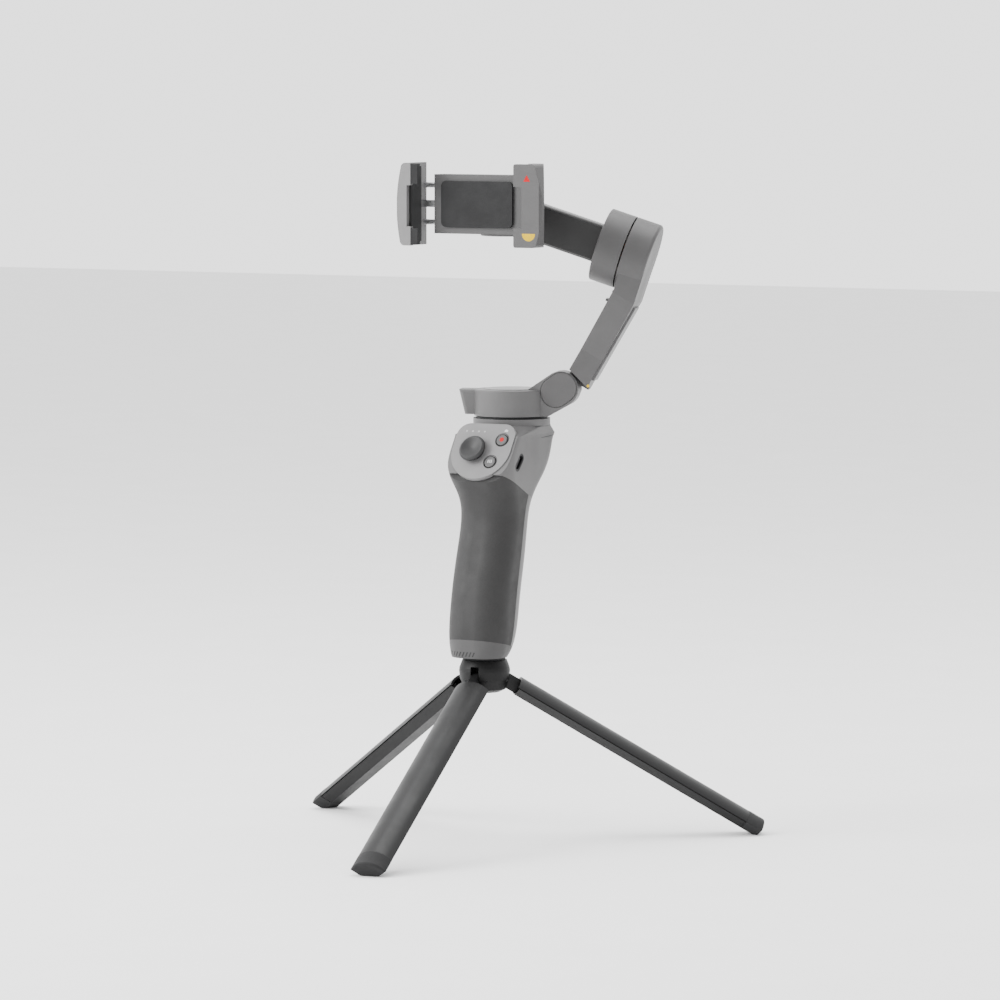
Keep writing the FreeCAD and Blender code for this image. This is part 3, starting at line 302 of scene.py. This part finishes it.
def moulded(name, tone, rough, grain_mm=0.35, grain_depth=0.012, edge_mm=0.25, wear=0.25,
            mottle=0.05, specular=0.3):
    """Spark-textured moulded plastic with faint cloudiness, handling marks and rubbed edges."""
    look = Look(name)
    cloud = look.noise(size_mm=9.0, detail=3.0)
    fine = look.noise(size_mm=0.9)
    mixed = look.maths("ADD", cloud, look.maths("MULTIPLY", fine, 0.35))
    colour = look.mix(look.ramp(mixed, 0.45, 0.9, 0.0, 1.0), shade(tone, 1.0 - mottle),
                      shade(tone, 1.0 + mottle))
    worn_width = edge_mm * 1.6
    rubbed_tone = shade(tone, 1.45)
    patches = look.ramp(look.noise(size_mm=3.0, detail=4.0, rough=0.7), 0.40, 0.62, 0.0, wear)
    rubbed = look.maths("MULTIPLY", look.edge_mask(worn_width), patches)
    look.feed(look.shader.inputs["Base Color"], look.mix(rubbed, colour, rubbed_tone))
    smear = look.noise(size_mm=14.0, detail=4.0, rough=0.65, place=look.stretched(1.0, 1.0, 0.35))
    gloss = look.ramp(smear, 0.35, 0.70, rough + 0.05, rough - 0.06)
    gloss = look.maths("SUBTRACT", gloss, look.maths("MULTIPLY", rubbed, 0.25))
    look.feed(look.shader.inputs["Roughness"], gloss)
    look.shader.inputs["Specular IOR Level"].default_value = specular
    grain = look.noise(grain_mm, rough=0.6)
    look.feed(look.shader.inputs["Normal"],
              look.bump(grain, grain_depth, 0.6, look.soft_edges(edge_mm)))
    return look


def across(look, spot, angle):
    """Distance in the YZ plane from a line through the origin of spot at an angle."""
    turn = math.radians(angle)
    return look.maths("ADD", look.maths("MULTIPLY", spot["Y"], -math.sin(turn)),
                      look.maths("MULTIPLY", spot["Z"], math.cos(turn)))


def head_plastic():
    """The head's shell, with a dark bezel round the USB socket on its right side."""
    look = moulded("head_plastic", LIGHT_GREY, 0.48)
    spot = look.position(middle("usb_c_port") / MM)
    slope = 48.0                          # degrees that the socket leans from level
    half_straight = 2.9                   # from the middle to where the bezel's round end begins
    round_end, fade = 2.55, 0.2           # radius of the bezel's ends, and how soft its rim is
    along = look.maths("ABSOLUTE", across(look, spot, slope - 90.0))
    beyond = look.maths("MAXIMUM", look.maths("SUBTRACT", along, half_straight), 0.0)
    aside = across(look, spot, slope)
    reach = look.maths("SQRT", look.maths("ADD", look.maths("MULTIPLY", beyond, beyond),
                                          look.maths("MULTIPLY", aside, aside)))
    bezel = look.ramp(reach, round_end, round_end + fade, 1.0, 0.0)
    inside, outside = -3.0, -2.0          # the bezel stays off the shell's inner and left walls
    right_side = look.ramp(spot["X"], inside, outside, 0.0, 1.0)
    look.overlay(look.maths("MULTIPLY", bezel, right_side), BLACK)
    return look


def cover_plastic():
    """The port cover: the head's plastic with a dark seam inside its three edges."""
    look = moulded("cover_plastic", LIGHT_GREY, 0.48)
    low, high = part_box("port_cover")
    spot = look.position(Vector((0.0, low.y, low.z)) / MM)
    roof = (high.z - low.z) / MM
    corner_in, foot_slope, side_slope = 7.1, 2.84, 137.1    # millimetres, and degrees from level
    seam, faded, strength = 0.22, 0.38, 0.85                # where the seam is dark, and how dark
    top = look.maths("SUBTRACT", roof, spot["Z"])
    corner = look.position(Vector((0.0, low.y + corner_in * MM, low.z)) / MM)
    foot = across(look, corner, foot_slope)
    side = across(look, corner, side_slope)
    nearest = look.maths("MINIMUM", look.maths("MINIMUM", top, foot),
                         look.maths("ABSOLUTE", side))
    look.overlay(look.ramp(nearest, seam, faded, strength, 0.0), BLACK)
    return look


def soft_rubber(name, tone, rough=0.62, pebble_mm=0.55, depth=0.03):
    """Soft-touch rubber: tight pebble grain, dusty high spots and a faint sheen."""
    look = Look(name)
    pebbles = look.cells(pebble_mm)
    dust = look.ramp(look.noise(size_mm=22.0, detail=4.0, rough=0.6), 0.42, 0.72, 0.0, 0.5)
    grain = look.ramp(pebbles, 0.1, 0.65, 1.0, 0.0)
    base = look.mix(grain, shade(tone, 0.90), shade(tone, 1.08))
    look.feed(look.shader.inputs["Base Color"], look.mix(dust, base, shade(tone, 1.16)))
    look.feed(look.shader.inputs["Roughness"],
              look.ramp(look.noise(size_mm=7.0, detail=3.0), 0.3, 0.7, rough - 0.05, rough + 0.07))
    look.shader.inputs["Specular IOR Level"].default_value = 0.25
    look.shader.inputs["Sheen Weight"].default_value = 0.04
    look.shader.inputs["Sheen Roughness"].default_value = 0.5
    look.feed(look.shader.inputs["Normal"],
              look.bump(pebbles, depth, 0.5, look.soft_edges(0.3)))
    return look


def brushed(name, tone, rough=0.32, direction=(1.0, 1.0, 0.06)):
    """Turned or drawn metal with fine lines and small stains."""
    look = Look(name)
    lines = look.noise(size_mm=0.12, detail=3.0, rough=0.6, place=look.stretched(*direction))
    stain = look.noise(size_mm=2.2, detail=3.0)
    look.feed(look.shader.inputs["Base Color"],
              look.mix(look.ramp(stain, 0.3, 0.7, 0.0, 1.0), shade(tone, 0.85), shade(tone, 1.08)))
    look.feed(look.shader.inputs["Roughness"], look.ramp(lines, 0.3, 0.7, rough - 0.08, rough + 0.1))
    look.shader.inputs["Metallic"].default_value = 1.0
    look.feed(look.shader.inputs["Normal"], look.bump(lines, 0.006, 0.5, look.soft_edges(0.12)))
    return look


def paint(name, tone):
    """Pad-printed ink: slightly uneven, with pinholes."""
    look = Look(name)
    thin, full = 0.92, 1.06               # how much the ink's coat varies
    holes = look.ramp(look.noise(size_mm=0.16), 0.30, 0.36, 0.8, 1.0)
    spread = look.ramp(look.noise(size_mm=1.6, detail=3.0), 0.3, 0.7, thin, full)
    tint = look.maths("MULTIPLY", holes, spread)
    colour = look.mix(look.ramp(tint, 0.7, full, 0.0, 1.0), shade(tone, 0.7), shade(tone, 1.05))
    look.feed(look.shader.inputs["Base Color"], colour)
    look.feed(look.shader.inputs["Roughness"], look.ramp(spread, thin, full, 0.48, 0.40))
    look.shader.inputs["Specular IOR Level"].default_value = 0.1
    look.feed(look.shader.inputs["Normal"], look.bump(tint, 0.01, 0.4))
    return look


LIGHT_GREY = (0.100, 0.0985, 0.099)
PANEL_GREY = (0.158, 0.156, 0.157)
DRUM_GREY = (0.088, 0.0865, 0.087)
MID_GREY = (0.067, 0.0655, 0.066)
DARK_GREY = (0.024, 0.0235, 0.0237)
BLACK = (0.010, 0.010, 0.0105)

LOOKS = {
    "head": head_plastic(),
    "cover": cover_plastic(),
    "panel": moulded("panel_plastic", PANEL_GREY, 0.52, grain_mm=0.28),
    # darker than the drum grey; on the hinge cover, which is the drum's plastic, this tone is painted
    # shade for its front that faces away from the key light
    "motor_and_knuckle_shade": moulded("motor_plastic_and_knuckle_shade", MID_GREY, 0.44),
    "drum": moulded("drum_plastic", DRUM_GREY, 0.44),
    "lid": moulded("lid_plastic", (0.155, 0.153, 0.154), 0.40),
    "arm": moulded("arm_plastic", MID_GREY, 0.42, grain_mm=0.3),
    "jaw_left": moulded("light_jaw_plastic", (0.150, 0.148, 0.149), 0.46),
    "clamp": moulded("clamp_plastic", (0.060, 0.059, 0.0595), 0.46),
    "jaw_right": moulded("mid_jaw_plastic", (0.066, 0.0645, 0.065), 0.46),
    "spine": moulded("spine_plastic", (0.120, 0.118, 0.119), 0.44),
    "cap": moulded("cap_plastic", (0.052, 0.051, 0.0515), 0.5),
    "button": moulded("button_plastic", (0.066, 0.065, 0.0655), 0.4, grain_mm=0.2, edge_mm=0.15),
    "beam": moulded("beam_cover_plastic", (0.019, 0.0186, 0.0188), 0.40, wear=0.4),
    "frame": moulded("glass_filled_plastic", BLACK, 0.55, mottle=0.12),
    "stick": moulded("joystick_plastic", (0.022, 0.022, 0.0225), 0.5, grain_mm=0.2,
                     edge_mm=0.12, wear=0.5),
    "tripod": moulded("tripod_plastic", (0.0075, 0.0075, 0.0078), 0.42, grain_mm=0.3,
                      grain_depth=0.008, wear=0.45),
    "hub": moulded("hub_plastic", (0.0045, 0.0045, 0.0047), 0.46, wear=0.4, specular=0.2),
    "rail": moulded("tripod_rail_plastic", (0.0065, 0.0065, 0.0067), 0.42, wear=0.4,
                    specular=0.22),
    "grip": soft_rubber("grip_rubber", DARK_GREY),
    "pad": soft_rubber("pad_rubber", (0.010, 0.010, 0.0105), 0.7, 0.8, 0.05),
    "foot": soft_rubber("foot_rubber", (0.012, 0.012, 0.0125), 0.7, 0.7, 0.04),
    "steel": brushed("turned_steel", (0.56, 0.56, 0.57)),
    "brass": brushed("turned_brass", (0.72, 0.54, 0.26)),
    "port": brushed("port_steel", (0.05, 0.05, 0.052), 0.4),
    "black_steel": brushed("blackened_steel", (0.035, 0.035, 0.036), 0.42),
    "copper": brushed("enamelled_copper", (0.16, 0.06, 0.03), 0.4, (0.2, 0.2, 2.0)),
    "board": moulded("solder_mask", (0.015, 0.075, 0.035), 0.3, grain_mm=0.15),
    "cell": moulded("cell_sleeve", (0.03, 0.09, 0.20), 0.25, grain_mm=1.2),
    "led": moulded("light_guide", (0.34, 0.34, 0.335), 0.25, grain_mm=0.2),
    "red": paint("red_ink", (0.42, 0.002, 0.006)),
    "yellow": paint("yellow_ink", (0.56, 0.37, 0.0)),
    "white": paint("white_ink", (0.50, 0.50, 0.50)),
    # black ink for the printed button rings, and painted shade for the foot cap's grooves
    "black_ink_and_groove_shade": paint("black_ink_and_groove_shade", (0.03, 0.03, 0.03)),
}

# the nodes that wear each look
WEARS = {
    "head": "head_shell", "cover": "port_cover", "panel": "control_panel",
    # the hinge cover wears the motor grey as painted shade; its own plastic is the drum's
    "motor_and_knuckle_shade": "roll_housing tilt_housing tilt_rotor hinge_cover", "arm": "long_arm",
    "drum": "pan_housing", "lid": "pan_lid", "clamp": "clamp_body",
    "jaw_left": "moving_jaw", "jaw_right": "fixed_jaw",
    "spine": "spine_cover arm_back_cover", "cap": "base_cap", "beam": "roll_arm_cover",
    "button": "record_button mode_button zoom_slider trigger roll_arm",
    "frame": "grip_core pan_base_plate", "stick": "joystick_ring joystick",
    "hub": "hub_crown hub_base", "tripod": "leg_shell_1 leg_shell_2 leg_shell_3",
    "rail": "leg_rail_1 leg_rail_2 leg_rail_3", "grip": "grip_sleeve",
    "pad": "clamp_rest_pad fixed_jaw_pad moving_jaw_pads hub_top_pad",
    "foot": "leg_foot_1 leg_foot_2 leg_foot_3",
    "black_steel": "leg_hinge_pins",
    "steel": "tripod_stud pan_shaft hinge_pin roll_shaft jaw_guide_rods clamp_spring "
             "pan_bearings roll_bearings tilt_bearings",
    "brass": "threaded_insert", "port": "usb_c_port",
    "copper": "pan_stator roll_stator tilt_stator", "board": "control_board",
    "cell": "battery_cell", "led": "status_lights",
}


def wear(obj, look):
    obj.data.materials.clear()
    obj.data.materials.append(LOOKS[look].material)


def dress_nodes():
    for look, names in WEARS.items():
        for name in names.split():
            wear(NODES[name], look)


# ---------------------------------------------------------------- pieces
def finish_piece(obj, look, body):
    """Give a piece its look and the body that it rides on."""
    wear(obj, look)
    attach(obj, body)


def joystick():
    """Knurled cap with a conical hollow on its stem; it stands for the plain CAD stick."""
    stem = [(1.9, -1.5), (1.9, 10.6), (6.0, 10.6)]
    rim = [(6.8, 11.0), (7.4, 11.4), (7.6, 11.8), (7.6, 12.4), (7.4, 12.9), (6.9, 13.35)]
    hollow = [(6.3, 13.6), (5.8, 13.45), (4.6, 12.9), (2.4, 12.2), (0.4, 11.9)]
    knurled = range(len(stem), len(stem) + len(rim))
    notches, notch_depth, steps = 48, 0.16, 192

    def ripple(row, step):
        if row not in knurled:
            return 0.0
        wave = 0.5 + 0.5 * math.cos(step * math.tau * notches / steps)
        return -notch_depth * wave ** 2

    made = lathe("joystick_cap", stem + rim + hollow, STICK, steps, ripple)
    finish_piece(made, "stick", "joystick")
    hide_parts("joystick")


def button_ring(button):
    """A dark ring printed round a button's hole; gives the button's place on the panel."""
    inner, outer = 3.72, 4.15
    centre = STICK.inverted() @ middle(button)
    ring = printed_ring(button + "_surround", inner, outer, on_panel(centre.x, centre.y))
    finish_piece(ring, "black_ink_and_groove_shade", "handle")
    return centre


def record_marks():
    """A ring and a red dot on the record button, and a small symbol beyond it."""
    centre = button_ring("record_button")
    radius = 1.25
    mark = printed("record_dot", dot(radius), on_panel(centre.x, centre.y, BUTTON_TOP))
    finish_piece(mark, "red", "record_button")
    symbol = [(-1.0, -0.55), (1.0, -0.55), (1.0, 0.55), (0.4, 0.55), (0.2, 0.85),
              (-0.4, 0.85), (-0.6, 0.55), (-1.0, 0.55)]
    aside, beyond = 1.0, 5.6
    mark = printed("record_symbol", symbol, on_panel(centre.x + aside, centre.y + beyond))
    finish_piece(mark, "white", "handle")


def mode_marks():
    """A ring and three plain bars on the mode button."""
    centre = button_ring("mode_button")
    wide, tall, apart = 0.22, 0.9, 1.0    # half a bar's width and height, and their spacing
    for i in range(3):
        x = (i - 1) * apart
        bar = [(x - wide, -tall), (x + wide, -tall), (x + wide, tall), (x - wide, tall)]
        mark = printed(f"mode_bar_{i + 1}", bar, on_panel(centre.x, centre.y, BUTTON_TOP))
        finish_piece(mark, "white", "mode_button")


def clamp_marks():
    """Two printed marks on the fixed jaw that show which way round the phone goes."""
    from_middle = 14.7
    triangle = [(-2.0, -1.6), (2.0, -1.6), (0.0, 1.9)]
    finish_piece(printed("jaw_triangle", triangle, on_jaw(37.8, from_middle)), "red", "tilt_stage")
    half = arc(4.0, 180, 360, 24)
    finish_piece(printed("jaw_half_disc", half, on_jaw(38.9, -from_middle)), "yellow", "tilt_stage")


def groove_shade_strips():
    """A row of slanted dark strips along the lower edge of the foot cap's front: painted shade that
    stands for the shade inside its grooves.

    Each is a thin strip laid on the cap, which keeps its own shape.
    """
    surface = BVHTree.FromPolygons([v.co for v in NODES["base_cap"].data.vertices],
                                   [p.vertices for p in NODES["base_cap"].data.polygons])
    low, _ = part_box("base_cap")
    grooves = 9
    first, apart, slant = 3.0 * MM, 2.1 * MM, 1.3 * MM      # along the cap's front
    foot, height = 1.0 * MM, 2.6 * MM                       # above the cap's lower edge
    half_width, proud, sunk, rows = 0.40 * MM, 0.05 * MM, -0.08 * MM, 6
    section = ((-half_width, sunk), (-half_width, proud), (half_width, proud), (half_width, sunk))
    sides = len(section)
    before = low.y - 10 * MM
    for index in range(grooves):
        verts, faces = [], []
        for row in range(rows):
            rise = row / (rows - 1)
            x = low.x + first + apart * index + slant * rise
            z = low.z + foot + height * rise
            for aside, lift in section:
                start = Vector((x + aside, before, z))
                point, normal, *_ = surface.ray_cast(start, Vector((0, 1, 0)))
                verts.append(point + normal * lift)
        for row in range(rows - 1):
            here, there = row * sides, (row + 1) * sides
            for side in range(sides):
                after = (side + 1) % sides
                faces.append((here + side, here + after, there + after, there + side))
        faces.append(tuple(reversed(range(sides))))
        faces.append(tuple((rows - 1) * sides + side for side in range(sides)))
        made = add_mesh(f"cap_groove_shade_{index + 1}", verts, faces, Matrix.Identity(4))
        # each strip wears the black ink look as painted groove shade
        finish_piece(made, "black_ink_and_groove_shade", "handle")


def arm_mark():
    """A small dot on the front of the arm's foot, beside the hinge."""
    outwards = joint_axis("arm_fold")
    sideways = Vector((-outwards.y, outwards.x, 0.0))
    aside, out, above, radius = 14.29, 9.50, 1.40, 0.75
    place = joint_point("arm_fold") + (sideways * aside + outwards * out) * MM
    place.z += above * MM
    finish_piece(printed("arm_dot", dot(radius), axes(place, sideways, outwards)), "yellow", "arm")


dress_nodes()
joystick()
record_marks()
mode_marks()
clamp_marks()
groove_shade_strips()
arm_mark()


# ---------------------------------------------------------------- stage, light and camera
def area_light(name, place, target, size, power):
    data = bpy.data.lights.new(name, "AREA")
    data.shape = "RECTANGLE"
    data.size, data.size_y = size
    data.energy = power
    lamp = bpy.data.objects.new(name, data)
    lamp.location = place
    lamp.rotation_euler = (Vector(target) - Vector(place)).to_track_quat("-Z", "Y").to_euler()
    bpy.context.scene.collection.objects.link(lamp)


def floor():
    look = Look("pale_floor")
    spread = look.ramp(look.noise(size_mm=60.0, detail=3.0), 0.3, 0.7, 0.0, 1.0)
    look.feed(look.shader.inputs["Base Color"],
              look.mix(spread, (0.90, 0.90, 0.90, 1.0), (0.92, 0.92, 0.92, 1.0)))
    look.shader.inputs["Roughness"].default_value = 0.85
    reach, drop = 6.0, -0.0002
    corners = [(-reach, -reach, drop), (reach, -reach, drop), (reach, reach, drop),
               (-reach, reach, drop)]
    mesh = bpy.data.meshes.new("floor")
    mesh.from_pydata(corners, [], [(0, 1, 2, 3)])
    mesh.materials.append(look.material)
    obj = bpy.data.objects.new("floor", mesh)
    bpy.context.scene.collection.objects.link(obj)


def surroundings():
    """A white room that is brighter on the left and behind than on the right."""
    darker_way = (0.90, -0.42, 0.10)
    bright_below, dark_above = -0.3, 0.8       # how far a direction agrees with darker_way
    bright, dark = 2.3, 1.2
    world = bpy.data.worlds.new("studio")
    world.use_nodes = True
    nodes, links = world.node_tree.nodes, world.node_tree.links
    background = nodes["Background"]
    background.inputs["Color"].default_value = (1.0, 1.0, 1.0, 1.0)
    coordinate = nodes.new("ShaderNodeTexCoord")
    facing = nodes.new("ShaderNodeVectorMath")
    facing.operation = "DOT_PRODUCT"
    facing.inputs[1].default_value = darker_way
    falloff = nodes.new("ShaderNodeMapRange")
    for key, number in (("From Min", bright_below), ("From Max", dark_above),
                        ("To Min", bright), ("To Max", dark)):
        falloff.inputs[key].default_value = number
    links.new(coordinate.outputs["Generated"], facing.inputs[0])
    links.new(facing.outputs["Value"], falloff.inputs["Value"])
    links.new(falloff.outputs["Result"], background.inputs["Strength"])
    bpy.context.scene.world = world


def lamps():
    """A soft key light from the front left, and a fainter one from above."""
    aim = (0.0, 0.0, 0.2)
    area_light("key", place=(-1.2, -1.2, 1.1), target=aim, size=(1.0, 1.3), power=55.0)
    area_light("top", place=(0.1, 0.3, 1.7), target=aim, size=(1.2, 1.2), power=24.0)


def camera():
    """The view from the front right, a little above the middle of the object."""
    data = bpy.data.cameras.new("camera")
    data.lens, data.sensor_width = 199.57, 36.0     # millimetres
    data.clip_start, data.clip_end = 0.1, 50.0
    cam = bpy.data.objects.new("camera", data)
    distance, azimuth, elevation = 3.0, math.radians(29.248), math.radians(4.827)
    target = Vector((0.01386, 0.0322, 0.18442))     # half way up the object, near its middle
    back = Vector((math.sin(azimuth) * math.cos(elevation), -math.cos(azimuth) * math.cos(elevation),
                   math.sin(elevation)))
    cam.location = target + back * distance
    cam.rotation_euler = (-back).to_track_quat("-Z", "Y").to_euler()
    bpy.context.scene.collection.objects.link(cam)
    bpy.context.scene.camera = cam


floor()
surroundings()
lamps()
camera()
